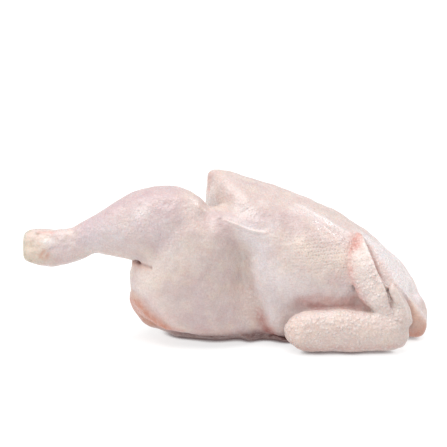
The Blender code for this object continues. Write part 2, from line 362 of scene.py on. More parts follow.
class Shader:
    """A material's node tree, built by expressions."""

    row_turn: ClassVar[Point] = (90.0, 25.0, 0.0)      # turns rows to the front and along the breast

    def __init__(self, name: str) -> None:
        """Makes an empty material.

        Args:
            name: The material's name.
        """
        self.material = bpy.data.materials.new(name)
        self.material.use_nodes = True
        self.tree = self.material.node_tree
        self.tree.nodes.clear()

    def node(
        self,
        kind: str,
        settings: dict[str, object] | None = None,
        inputs: dict[str | int, object] | None = None,
    ) -> bpy.types.Node:
        """Adds a node.

        Args:
            kind: Its Blender type.
            settings: Its settings, which are set first.
            inputs: The values or links of its sockets, by name or by number.

        Returns:
            The node.
        """
        made = self.tree.nodes.new(kind)
        for key, value in (settings or {}).items():
            setattr(made, key, value)
        for key, value in (inputs or {}).items():
            socket = made.inputs[key]
            if isinstance(value, Value):
                self.tree.links.new(value.socket, socket)
            else:
                socket.default_value = value
        return made

    def value(self, kind: str, output: str | int, *given: dict[str | int, object]) -> Value:
        """Adds a node with any settings and inputs given, and returns one of its outputs."""
        return Value(self, self.node(kind, *given).outputs[output])

    def math(self, operation: str, a: Value | float, b: Value | float) -> Value:
        """One step of arithmetic."""
        return self.value("ShaderNodeMath", 0, {"operation": operation}, {0: a, 1: b})

    def attribute(self, mask: Mask) -> Value:
        """Reads one of the tints that lie on the mesh."""
        return self.value("ShaderNodeAttribute", "Fac", {"attribute_name": mask.value})

    def place(self) -> Value:
        """The place on the piece, in metres."""
        return self.value("ShaderNodeTexCoord", "Object")

    def turned(self, turn: Point) -> Value:
        """The place on the piece, turned by degrees about each axis."""
        radians = tuple(math.radians(angle) for angle in turn)
        return self.value("ShaderNodeMapping", 0, {}, {"Vector": self.place(), "Rotation": radians})

    def clouds(self, size: float, detail: float) -> Value:
        """Soft noise around one half, in clouds of one width, in millimetres, with finer layers."""
        inputs = {"Vector": self.place(), "Scale": 1 / (size * MM), "Detail": detail}
        return self.value("ShaderNodeTexNoise", "Fac", {}, inputs)

    def cells(self, size: float, feature: str = "F1") -> Value:
        """Distance to the nearest of scattered dots, as a share of their spacing, in millimetres."""
        inputs = {"Vector": self.place(), "Scale": 1 / (size * MM)}
        return self.value("ShaderNodeTexVoronoi", "Distance", {"feature": feature}, inputs)

    def rows(self, size: float, stray: float) -> Value:
        """Distance to the nearest dot of rows seen from the front, which may stray from them."""
        inputs = {"Vector": self.turned(self.row_turn), "Scale": 1 / (size * MM), "Randomness": stray}
        return self.value("ShaderNodeTexVoronoi", "Distance", {"voronoi_dimensions": "2D"}, inputs)

    def between(self, value: Value, low: float, high: float, out: tuple[float, float] = (0.0, 1.0)) -> Value:
        """Turns a stretch of a value into another stretch, with soft ends."""
        inputs = {"Value": value, "From Min": low, "From Max": high, "To Min": out[0], "To Max": out[1]}
        return self.value("ShaderNodeMapRange", 0, {"interpolation_type": "SMOOTHSTEP"}, inputs)

    def mix(self, share: Value | float, base: Value | Colour, over: Value | Colour) -> Value:
        """Lays a colour over another.

        Args:
            share: How much of the upper colour shows.
            base: The lower colour.
            over: The upper colour.

        Returns:
            The mixed colour.
        """
        inputs: dict[str | int, object] = {0: share}
        for number, colour in ((6, base), (7, over)):
            inputs[number] = colour if isinstance(colour, Value) else (*colour, 1.0)
        return self.value("ShaderNodeMix", 2, {"data_type": "RGBA"}, inputs)

    def bump(self, height: Value, depth: float, below: Value | None = None) -> Value:
        """Turns a height into a normal.

        Args:
            height: The height, from 0 to 1.
            depth: The depth that 1 stands for, in millimetres.
            below: The normal of what lies below.

        Returns:
            The normal.
        """
        inputs: dict[str | int, object] = {"Height": height, "Distance": depth * MM}
        if below is not None:
            inputs["Normal"] = below
        return self.value("ShaderNodeBump", 0, {}, inputs)

    def output(self, surface: bpy.types.NodeSocket) -> bpy.types.Material:
        """Ends the tree and returns its material."""
        end = self.node("ShaderNodeOutputMaterial")
        self.tree.links.new(surface, end.inputs["Surface"])
        return self.material


def from_srgb(red: int, green: int, blue: int) -> Colour:
    """Turns a screen colour, 0 to 255, into the linear colour that a shader takes."""

    def linear(part: int) -> float:
        """Takes the screen's curve off one part of the colour."""
        share = part / 255
        return share / 12.92 if share <= 0.04045 else ((share + 0.055) / 1.055) ** 2.4

    return linear(red), linear(green), linear(blue)


@dataclass(frozen=True)
class Layer:
    """A tint that lies over the skin where its mask says.

    Attributes:
        mask: Where it lies.
        seen: Its colour as it looks in the studio, on a surface that faces the camera.
        size: The width of the clouds that break it up, in millimetres.
        uneven: The share that the clouds take away at most.
    """

    mask: Mask
    seen: Colour
    size: float
    uneven: float


@dataclass(frozen=True)
class RawFinish:
    """Moist raw poultry, from its skin to its cut meat and bone. Colours are given as they look.

    Attributes:
        light: How bright the studio makes a white surface that faces the camera.
        skin: The skin's colour.
        skin_light: The skin's colour where it is lighter.
        dome: The colour of the tops of swollen follicles.
        layers: The tints, from the lowest to the uppermost; some of them are painted shade and painted light.
        mottling: Masks whose colours also mottle all of the skin, with cloud sizes and strengths.
        grain: How strongly fine grain darkens the skin.
        grain_size: The size of that grain, in millimetres.
        dot_tint: How strongly the fine follicles are darkened.
        dome_tint: How strongly swollen follicles are lightened.
        large: The spacing of the large swollen follicles, in millimetres.
        small: The spacing of the small swollen follicles, in millimetres.
        row_pitch: The spacing of the rows of fine follicles, in millimetres.
        row_stray: How far the fine follicles stray from their rows, from 0 to 1.
        moisture: The size of the wetter patches, in millimetres.
        swelling: The size and the depth of soft unevenness, in millimetres.
        wrinkle: The size and the depth of fine wrinkles, in millimetres.
        follicle_depth: The height of the swollen follicles, in millimetres.
    """

    light: float = 1.22
    skin: Colour = from_srgb(215, 196, 191)
    skin_light: Colour = from_srgb(227, 211, 206)
    dome: Colour = from_srgb(240, 227, 222)
    layers: tuple[Layer, ...] = (
        Layer(Mask.CREAM, from_srgb(235, 217, 199), 7.0, 0.25),
        Layer(Mask.MAUVE, from_srgb(204, 181, 185), 6.0, 0.35),
        Layer(Mask.PALE_AND_PAINTED_LIGHT, from_srgb(234, 227, 233), 5.0, 0.50),
        Layer(Mask.WET_AND_PAINTED_LIGHT, from_srgb(248, 239, 238), 2.0, 0.50),
        Layer(Mask.SALLOW, from_srgb(196, 190, 164), 3.0, 0.45),
        Layer(Mask.FLESH, from_srgb(206, 136, 104), 4.0, 0.20),
        Layer(Mask.BLUSH, from_srgb(214, 142, 132), 4.0, 0.45),
        # the next two are painted shade: in creases and hollows, and the dark red contact shadow above the
        # table
        Layer(Mask.CREASE, from_srgb(146, 98, 90), 3.0, 0.25),
        Layer(Mask.CONTACT_SHADE, from_srgb(86, 34, 28), 4.0, 0.25),
        Layer(Mask.HOLLOW, from_srgb(205, 142, 131), 5.0, 0.25),
        Layer(Mask.MEAT, from_srgb(222, 164, 154), 3.0, 0.10),
        Layer(Mask.BONE, from_srgb(232, 216, 200), 3.0, 0.20),
        Layer(Mask.MARROW, from_srgb(160, 78, 68), 2.5, 0.45),
    )
    mottling: tuple[tuple[Mask, float, float], ...] = (
        (Mask.MAUVE, 16.0, 0.50), (Mask.CREAM, 11.0, 0.42), (Mask.BLUSH, 7.0, 0.10)
    )
    grain: float = 0.15
    grain_size: float = 1.1
    dot_tint: float = 0.15
    dome_tint: float = 0.70
    large: float = 2.9
    small: float = 1.9
    row_pitch: float = 2.4
    row_stray: float = 0.35
    moisture: float = 2.2
    swelling: tuple[float, float] = (3.4, 0.7)
    wrinkle: tuple[float, float] = (1.2, 0.22)
    follicle_depth: float = 0.6

    def paint(self, seen: Colour) -> Colour:
        """Turns a colour as it looks into the colour that the surface needs."""
        red, green, blue = (part / self.light for part in seen)
        return red, green, blue

    def colour(self, shader: Shader, domes: Value, dots: Value) -> Value:
        """Lays the tints over the skin, each broken up by its own clouds.

        Args:
            shader: The shader to build in.
            domes: The tops of the swollen follicles.
            dots: The pits of the fine follicles.

        Returns:
            The colour.
        """
        tones = {layer.mask: self.paint(layer.seen) for layer in self.layers}
        lighter = shader.between(shader.clouds(9.0, 5.0), 0.35, 0.7)
        colour = shader.mix(lighter, self.paint(self.skin), self.paint(self.skin_light))
        for mask, size, strength in self.mottling:
            patch = shader.between(shader.clouds(size, 4.0), 0.48, 0.68, (0.0, strength))
            colour = shader.mix(patch, colour, tones[mask])
        for layer in self.layers:
            broken = shader.between(shader.clouds(layer.size, 4.0), 0.3, 0.7, (1 - layer.uneven, 1.0))
            colour = shader.mix(shader.attribute(layer.mask) * broken, colour, tones[layer.mask])
        grainy = shader.between(shader.clouds(self.grain_size, 2.0), 0.3, 0.7, (0.0, self.grain))
        grainy = grainy * (shader.attribute(Mask.BUMPY) * 0.3 + 0.9)
        colour = shader.mix(grainy + dots * self.dot_tint, colour, tones[Mask.CREASE])
        return shader.mix(domes * self.dome_tint, colour, self.paint(self.dome))

    def material(self) -> bpy.types.Material:
        """Builds the material, whose wet patches are smoother and shine more than the rest.

        Returns:
            The material.
        """
        shader = Shader("raw_skin")
        wet = shader.clouds(self.moisture, 4.0)
        gloss = shader.between(wet, 0.35, 0.60, (0.0, 0.45)) * shader.attribute(Mask.WET_AND_PAINTED_LIGHT)
        small = shader.between(shader.cells(self.small), 0.55, 0.05)
        domes = shader.between(shader.cells(self.large), 0.60, 0.05) * 0.75 + small * 0.35
        domes = domes * shader.attribute(Mask.BUMPY)
        rows = shader.rows(self.row_pitch, self.row_stray)
        dots = shader.between(rows, 0.42, 0.10) * shader.attribute(Mask.DOTTED)
        normal = shader.bump(shader.clouds(self.swelling[0], 4.0), self.swelling[1])
        normal = shader.bump(shader.cells(self.wrinkle[0], "SMOOTH_F1"), self.wrinkle[1], normal)
        normal = shader.bump(domes - dots * 0.4, self.follicle_depth, normal)
        surface = shader.node(
            "ShaderNodeBsdfPrincipled",
            {},
            {
                "Base Color": self.colour(shader, domes, dots),
                "Roughness": shader.between(wet, 0.35, 0.65, (0.30, 0.48)),
                "Coat Weight": shader.between(wet, 0.40, 0.65, (0.05, 0.40)) + gloss,
                "Normal": normal,
                "IOR": 1.42,
                "Coat Roughness": 0.2,
                "Subsurface Weight": 0.2,
                "Subsurface Radius": (1.0, 0.42, 0.30),
                "Subsurface Scale": 0.003,
            },
        )
        return shader.output(surface.outputs[0])


@dataclass(frozen=True)
class Leg:
    """The drumstick, the thigh and the fold of skin that joins them to the breast.

    Attributes:
        shank: A line along the thin end of the drumstick, in millimetres.
        seat: A line along the skin that lies lowest, in millimetres.
        seat_reach: How far from that line the painted shade reaches, in millimetres.
        crease_depth: The depth of the crease under the drumstick, in millimetres.
        valley_height: How far the skin swells between the thigh and the breast, in millimetres.
        fold_height: The height of the fold of skin, in millimetres.
        shade: The top and the fade of the painted shade above the table, in millimetres, and its strength.
        damp: The same for the darker painted contact shadow right above the table.
    """

    shank: ClassVar[tuple[Point, ...]] = ((-146, 0, 74), (-128, -1, 75), (-108, -1, 79))
    seat: ClassVar[tuple[Point, ...]] = (
        (-34, -16, 4), (-14, -20, 4), (6, -18, 4), (24, -14, 4), (42, -14, 4)
    )
    seat_reach: float = 20.0
    crease_depth: float = 2.8
    valley_height: float = 0.6
    fold_height: float = 1.2
    shade: tuple[float, float, float] = (17.0, 9.0, 0.55)
    damp: tuple[float, float, float] = (13.0, 5.0, 0.95)

    def hock(self) -> list[Stroke]:
        """Lists the strokes of the cut hock: two knuckles with a groove between them."""
        upper_knuckle = ((-151, 6, 84), (-143, 2, 85))
        lower_knuckle = ((-150, -4, 66), (-143, -3, 62))
        corners = (((-154, 6, 83), (-153, 12, 80)), ((-153, 0, 64), (-152, 8, 63)))
        groove = ((-156, -2, 76), (-148, -7, 75))
        waist = ((-130, -5, 79), (-128, -6, 72))
        saddle = ((-133, 0, 84), (-122, 0, 84))
        lower_swelling = ((-130, -1, 62), (-122, -1, 64))
        rim = ((-153, 6, 83), (-155, -1, 75), (-152, -3, 66), (-146, -2, 61))
        spot = ((-138, -7, 71), (-141, -7, 67), (-137, -7, 65), (-135, -7, 69))
        top_line = ((-143, 1, 84), (-131, 0, 83))
        end = ((-152, 0, 74), (-143, -5, 74), (-137, -5, 76))
        joint = ((-156, 4, 79), (-156, 4, 69))
        gristle = ((-137, -5, 78), (-132, -5, 78))
        vein = ((-133, -6, 73), (-127, -6, 74), (-122, -6, 73))
        yolk = ((-150, -4, 68), (-144, -6, 66), (-138, -7, 64))
        under = ((-124, -5, 66), (-112, -5, 71))
        specks = ((-154, 0, 82), (-155, -2, 77), (-155, -2, 73), (-153, -3, 68), (-148, -3, 63))
        top_specks = ((-143, 0, 83), (-150, 4, 85))
        return [
            Stroke(end, 10, cream=0.8),
            Stroke(joint, 5, wet=0.6),
            Stroke(upper_knuckle, 4, -0.8),
            Stroke(lower_knuckle, 4.5, 1.1),
            Stroke(lower_swelling, 7, 1.6),
            *(Stroke(corner, 4, 1.2) for corner in corners),
            Stroke(groove, 3, -1.1, sallow=0.3),
            Stroke(waist, 4, -0.6),
            Stroke(saddle, 5, 0.8),
            Stroke(rim, 3, sallow=0.75),
            Stroke(spot, 1.5, -0.3, flesh=0.6),
            Stroke(top_line, 1.6, blush=0.45),
            Stroke(gristle, 2.5, 0.4, wet=0.8),
            Stroke(vein, 3, -0.4, mauve=0.7),
            Stroke(yolk, 5, cream=0.6, sallow=0.2),
            Stroke(under, 4, blush=0.15),
            *(Stroke((speck,), 1.6, -0.5, sallow=0.9, crease=0.35) for speck in specks + top_specks),
        ]

    def drumstick(self) -> list[Stroke]:
        """Lists the strokes of the calf, whose dark meat shows through the skin, with a painted highlight and
        painted shade in the crease under it.
        """
        muscle = ((-98, -6, 84), (-80, -15, 88), (-65, -20, 92), (-52, -23, 92), (-44, -24, 88))
        top = ((-107, -2, 90), (-84, -3, 105), (-62, -4, 116), (-44, 0, 118))
        calf_end = ((-42, -17, 108), (-38, -20, 102))
        underside = ((-94, -4, 67), (-84, -5, 66), (-74, -8, 65))
        top_right = ((-58, -10, 115), (-50, -14, 113), (-39, -13, 112))
        calf_front = ((-93, -10, 88), (-84, -14, 85))
        knee_low = ((-28, -15, 105), (-23, -15, 101))
        valley = ((-57, -22, 99), (-50, -24, 88), (-54, -23, 76))
        patch = ((-50, -17, 110), (-43, -16, 109))
        shine = ((-66, -17, 104), (-61, -17, 105))
        shank = ((-131, -5, 76), (-115, -6, 76), (-100, -7, 78))
        shank_base = ((-122, -5, 68), (-112, -5, 69), (-102, -6, 71))
        knee_front = ((-15, -12, 98), (-8, -17, 94))
        knee = ((-39, -14, 111), (-28, -13, 107), (-24, -17, 101), (-32, -21, 98))
        notch = ((-77, 12, 67), (-74, 2, 66), (-71, -5, 65))
        corner = ((-74, 4, 62), (-74, -2, 61))
        halo = ((-72, -5, 63), (-66, -13, 62), (-60, -18, 62))
        crease = ((-76, 6, 67), (-74, 0, 66), (-71, -6, 65), (-67, -13, 64))
        crease_end = ((-68, -12, 64), (-63, -16, 63.5), (-57, -21, 62.5))
        return [
            Stroke(muscle, 12, mauve=0.35, pale=0.3, bumpy=0.35),
            Stroke(underside, 6, 1.5, cream=0.3, wet=0.2),
            Stroke(shine, 5, wet=0.75, bumpy=0.5),
            Stroke(top, 10, mauve=1),
            Stroke(calf_end, 9, mauve=0.8),
            Stroke(top_right, 7, mauve=0.7, crease=0.1),
            Stroke(calf_front, 8, cream=0.2, pale=0.35),
            Stroke(knee_low, 6, cream=0.3, wet=0.5, blush=0.08),
            Stroke(shank, 8, pale=0.35),
            Stroke(shank_base, 5, cream=0.3, wet=0.35),
            Stroke(valley, 5, -0.8, mauve=0.5),
            Stroke(knee_front, 7, -1.6),
            Stroke(patch, 3, -0.4, mauve=0.6),
            Stroke(knee, 8, blush=0.08, cream=0.4, wet=0.25),
            # the notch and the crease under the drumstick are pressed in and darkened with painted shade
            Stroke(notch, 2.4, -2, crease=0.3),
            Stroke(corner, 4, -1.5),
            Stroke(halo, 2.4, flesh=0.5),
            Stroke(crease, 1.5, -self.crease_depth, spread=0.9, crease=0.8, damp=0.5),
            Stroke(crease_end, 1.1, -0.6 * self.crease_depth, crease=0.9),
        ]

    def thigh(self) -> list[Stroke]:
        """Lists the strokes of the thigh, with the bare fat under the edge of its skin, painted light on its
        left side and painted shade in the tuck.
        """
        left = ((-66, -17, 56), (-64, -19, 48), (-58, -23, 40), (-51, -25, 33), (-42, -27, 25))
        upper_left = ((-59, -23, 54), (-50, -25, 63), (-43, -26, 70), (-32, -27, 78))
        pink_left = ((-60, -22, 38), (-51, -24, 28), (-40, -28, 24))
        low = ((-35, -29, 38), (-13, -28, 34), (2, -20, 32))
        base = ((-54, -13, 2), (-36, -20, 0), (-12, -21, 0), (6, -18, 0))
        reddened = ((-20, -28, 14), (2, -23, 12))
        skin_edge = ((-69, -14, 46), (-61, -21, 41), (-55, -24, 35), (-48, -26, 28), (-40, -27, 22))
        edge = ((-71, -10, 41), (-63, -18, 38), (-58, -21, 32), (-52, -22, 26), (-45, -24, 20))
        rump = ((-73, 10, 34), (-68, 2, 20), (-58, -6, 8))
        fat_top = ((-72, -6, 37), (-68, -12, 35))
        fat = ((-72, -6, 32), (-66, -15, 30), (-59, -18, 25), (-53, -21, 20), (-46, -22, 15))
        fat_rim = ((-73, 1, 28), (-68, -7, 24), (-62, -13, 20), (-56, -16, 16), (-50, -19, 13))
        fat_end = ((-42, -24, 14), (-35, -25, 13))
        tuck = ((-67, -2, 16), (-61, -5, 13), (-55, -10, 12))
        lifted = ((-47, -8, 7), (-40, -8, 3), (-34, -10, 2), (-28, -14, 2))
        return [
            # painted light: the thigh's left side is lightened
            Stroke(left, 9, cream=0.4, wet=0.3),
            Stroke(upper_left, 9, cream=0.5, wet=0.35),
            Stroke(pink_left, 6, mauve=0.3, blush=0.2),
            Stroke(low, 14, mauve=0.25),
            Stroke(base, 10, -8.5),
            Stroke(reddened, 6, blush=0.15),
            Stroke(edge, 1.2, -0.6),
            Stroke(skin_edge, 3, 0.6, wet=0.3),
            Stroke(rump, 9, flesh=0.9),
            Stroke(fat_top, 4.5, 0.3, spread=1.1, flesh=0.45, cream=0.3),
            Stroke(fat, 4.2, 0.7, spread=1.2, flesh=0.95, blush=0.15),
            Stroke(fat_rim, 5.5, flesh=0.95, blush=0.4),
            Stroke(fat_end, 3, blush=0.6),
            # the tuck is pressed in and darkened with painted shade
            Stroke(tuck, 6, -2.5, crease=0.25),
            Stroke(lifted, 6.5, -5.5),
        ]

    def flank(self) -> list[Stroke]:
        """Lists the strokes where the thigh meets the breast: the valley, the web and the fold, with painted
        shade in the dip and near the table and painted light under the fold.
        """
        glow = ((9, -12, 66), (13, -12, 57), (23, -20, 52), (28, -22, 46))
        upper_valley = ((6, -17, 91), (11, -17, 83), (14, -11, 64), (14, -11, 46))
        valley = (*upper_valley, (17, -16, 36), (23, -17, 25), (29, -17, 12))
        speckle = ((16, -15, 42), (20, -17, 33), (24, -18, 24))
        foot = ((25, -15, 20), (29, -15, 14), (32, -16, 9))
        blood = ((31, -16, 11), (33, -18, 7))
        base = ((32, -15, 1), (38, -19, 1), (46, -22, 1))
        reddened = ((24, -17, 26), (28, -18, 18), (31, -19, 13))
        web = ((24, -17, 71), (29, -20, 60), (33, -22, 49), (36, -22, 38), (40, -22, 28))
        web_right = ((34, -19, 66), (40, -21, 54), (46, -23, 46))
        ridge = ((20, -17, 66), (23, -20, 48), (29, -22, 35), (34, -21, 20))
        dip = ((-18, -16, 94), (-10, -9, 99), (-4, -14, 96), (0, -18, 87), (4, -17, 79))
        pink_low = ((6, -18, 44), (8, -17, 36), (12, -17, 29))
        under_fold = ((12, -16, 87), (18, -17, 83), (25, -17, 79))
        side = ((44, -24, 64), (52, -25, 57), (62, -24, 60))
        fold_start = ((-12, 0, 102), (-6, -12, 99))
        below_fold = ((14, -16, 89), (22, -16, 87), (31, -15, 85))
        fold = ((-2, -13, 97), (8, -15, 93), (19, -15, 89), (28, -15, 88))
        beside_fold = ((4, -12, 99), (18, -14, 92), (32, -12, 90))
        return [
            Stroke(glow, 7, cream=0.2, wet=0.2),
            Stroke(web, 9, pale=0.5, wet=0.2),
            Stroke(web_right, 7, cream=0.2, wet=0.3),
            # painted shade, in mauve and a darker colour, in the dip between the knee and the breast
            Stroke(dip, 7, mauve=0.4, crease=0.13),
            Stroke(pink_low, 9, cream=0.3, blush=0.12, wet=0.2),
            # painted light on the shaded skin under the fold
            Stroke(under_fold, 6, pale=0.5, wet=0.4),
            Stroke(side, 10, cream=0.3, wet=0.3),
            Stroke(valley, 4.8, self.valley_height, spread=1.4, cream=0.2),
            Stroke(speckle, 5, -0.4, crease=0.15, bumpy=0.6),
            Stroke(base, 7, -7),
            Stroke(reddened, 4.5, blush=0.5, crease=0.15),
            # the foot's red and the blood are the skin's own; their darkening is painted shade near the table
            Stroke(foot, 3.8, -1.2, spread=1.1, blush=0.6, crease=0.5),
            Stroke(blood, 4, -0.5, blush=0.8, marrow=0.85, damp=0.4),
            Stroke(ridge, 5.5, 0.7, pale=0.2),
            Stroke(beside_fold, 6, pale=0.3, wet=0.2),
            # painted light below the fold
            Stroke(below_fold, 3, wet=0.5),
            Stroke(fold_start, 1.2, 0.8, pale=0.4),
            Stroke(fold, 1, self.fold_height, spread=1.2, cream=0.7, wet=0.3),
        ]

    def strokes(self) -> list[Stroke]:
        """Lists all strokes of the leg."""
        return self.hock() + self.drumstick() + self.thigh() + self.flank()

    def paint_shade_above_table(self, clay: Clay) -> None:
        """Paints shade on the thigh and the flank above the table, and a dark red painted contact shadow
        right above it.

        Args:
            clay: The bird.
        """
        near = clay.wash(self.seat, self.seat_reach)
        height = clay.points[:, 2] / MM
        for mask, (top, fade, strength) in ((Mask.CREASE, self.shade), (Mask.CONTACT_SHADE, self.damp)):
            clay.tint(mask, ramp(top - height, fade) * near * strength)


@dataclass(frozen=True)
class Breast:
    """The breast, from the tip of the keel to the neck.

    Attributes:
        end_corner: A line where the end of the breast meets the leg, which is kept free of painted shade, in
            millimetres.
        corner_reach: How far from that line the painted shade is left out, in millimetres.
        tip_height: How far the tip of the keel is raised, in millimetres.
    """

    end_corner: ClassVar[tuple[Point, ...]] = ((-14, 33, 99), (-12, 27, 101), (-9, 22, 101))
    corner_reach: ClassVar[float] = 11.0
    tip_height: float = 1.0

    def strokes(self) -> list[Stroke]:
        """Lists the strokes of the breast, with painted light on the facet and on the shoulder and painted
        shade beside the wrist.
        """
        tip = ((-15, 41, 121), (-11, 40, 122))
        corner = ((-4, 22, 112), (0, 12, 107), (6, 4, 103))
        top = ((-2, 23, 119), (17, 15, 115), (36, 17, 108), (55, 17, 101), (74, 13, 92), (89, 10, 83))
        end = ((-15, 40, 108), (-14, 36, 102), (-14, 35, 95))
        facet = ((-10, 29, 106), (-6, 22, 104))
        facet_low = ((-14, 35, 100), (-11, 30, 100), (-7, 24, 103))
        end_top = ((-13, 38, 117), (-13, 36, 109))
        end_fat = ((-12, 32, 108), (-9, 25, 105), (-7, 17, 103), (-6, 4, 102))
        shine = ((9, 2, 104), (17, -4, 101), (22, -8, 98))
        top_shine = ((50, 8, 100), (60, 9, 97), (72, 8, 90))
        ridge_shine = ((54, 16, 101), (62, 14, 97), (74, 12, 91), (84, 10, 86), (91, 7, 82))
        goose_flesh = ((72, 4, 88), (82, 0, 83), (90, -2, 79))
        side = ((43, 4, 100), (58, 3, 94), (73, 0, 87), (84, -4, 79))
        middle = ((60, -14, 76), (76, -14, 71), (88, -10, 68))
        upper = ((31, -8, 96), (43, -6, 94), (54, -5, 91), (65, -11, 82), (76, -11, 77))
        far_side = ((118, 26, 66), (125, 27, 59), (132, 28, 52), (138, 21, 44))
        far_end = ((139, 16, 40), (142, 15, 34), (145, 14, 29))
        low = ((46, -23, 42), (61, -24, 40), (76, -25, 42), (89, -25, 45))
        low_left = ((40, -23, 52), (50, -24, 49), (60, -25, 47))
        right = ((108, 19, 73), (114, 7, 64), (122, 1, 56), (128, -2, 47), (134, -4, 40))
        right_middle = ((110, 18, 75), (118, 12, 66), (126, 8, 57), (132, 4, 48))
        far_right = ((121, 17, 61), (129, 15, 54), (135, 12, 46), (140, 7, 38))
        upper_rim = ((81, 29, 91), (95, 34, 84), (106, 30, 75), (119, 29, 65))
        rim = (*upper_rim, (129, 26, 55), (137, 21, 46), (143, 13, 35))
        neck_fat = ((134, 1, 42), (138, 1, 37), (141, 0, 31), (144, -4, 25))
        neck = ((138, -7, 28), (144, -8, 16), (149, -5, 12), (142, -6, 6))
        neck_low = ((136, -5, 3), (141, -5, 3), (147, -4, 4))
        neck_top = ((146, -4, 26), (149, -4, 20))
        neck_shoulder = ((144, 8, 33), (148, 7, 28), (151, 5, 23))
        neck_heel = ((151, -5, 10), (149, -6, 5))
        neck_left = ((136, -8, 35), (138, -7, 26), (139, -8, 16), (139, -9, 6))
        skin_edge = ((128, -7, 46), (133, -6, 38), (139, -4, 29), (141, -7, 23))
        return [
            Stroke(tip, 3.5, self.tip_height),
            Stroke(corner, 9, 3),
            Stroke(top, 12, cream=0.2, mauve=0.25, bumpy=0.4),
            Stroke(end, 6, cream=0.8, wet=0.5),
            # painted light on the facet at the end of the keel, which lies in shade
            Stroke(facet, 8, 2, cream=0.4, wet=0.4),
            Stroke(facet_low, 6, 0.4, cream=0.5, wet=0.9),
            Stroke(end_top, 4, blush=0.5),
            Stroke(end_fat, 6, cream=0.6, flesh=0.15, wet=0.4),
            Stroke(side, 9, mauve=0.2),
            Stroke(middle, 14, spread=1.1, cream=0.6, wet=0.15, dotted=1),
            Stroke(upper, 9, mauve=0.35, crease=0.07),
            Stroke(far_side, 7, pale=1, wet=0.5, bumpy=0.6),
            Stroke(far_end, 5.5, pale=1, wet=1),
            Stroke(low, 8, mauve=0.15, pale=0.25),
            Stroke(low_left, 8, pale=0.3, wet=0.3),
            # painted light on the shoulder beyond the wing
            Stroke(right, 9, pale=0.8, wet=0.9, bumpy=0.8),
            Stroke(right_middle, 7, pale=0.6, wet=0.6, bumpy=0.7),
            Stroke(far_right, 8, pale=0.7, wet=0.7, bumpy=0.8),
            Stroke(shine, 4, wet=0.45, bumpy=0.7),
            Stroke(top_shine, 4.5, wet=0.5, bumpy=0.6),
            Stroke(ridge_shine, 2.6, 0.6, spread=1.2, wet=0.8, bumpy=0.9),
            Stroke(goose_flesh, 5, bumpy=0.9),
            Stroke(rim, 2, sallow=0.3),
            Stroke(neck, 5.5, 0.6, spread=1.2, cream=0.6, flesh=0.5),
            Stroke(neck_low, 5, 4.5, spread=1.3, flesh=0.85, blush=0.5, crease=0.15),
            # painted shade beside the wrist
            Stroke(neck_left, 2, -0.5, crease=0.2),
            Stroke(neck_top, 4, pale=0.6),
            Stroke(neck_shoulder, 8, -3.5),
            Stroke(neck_heel, 5, 2),
            Stroke(neck_fat, 4, cream=0.9),
            Stroke(skin_edge, 1.5, 0.7, cream=0.5),
        ]


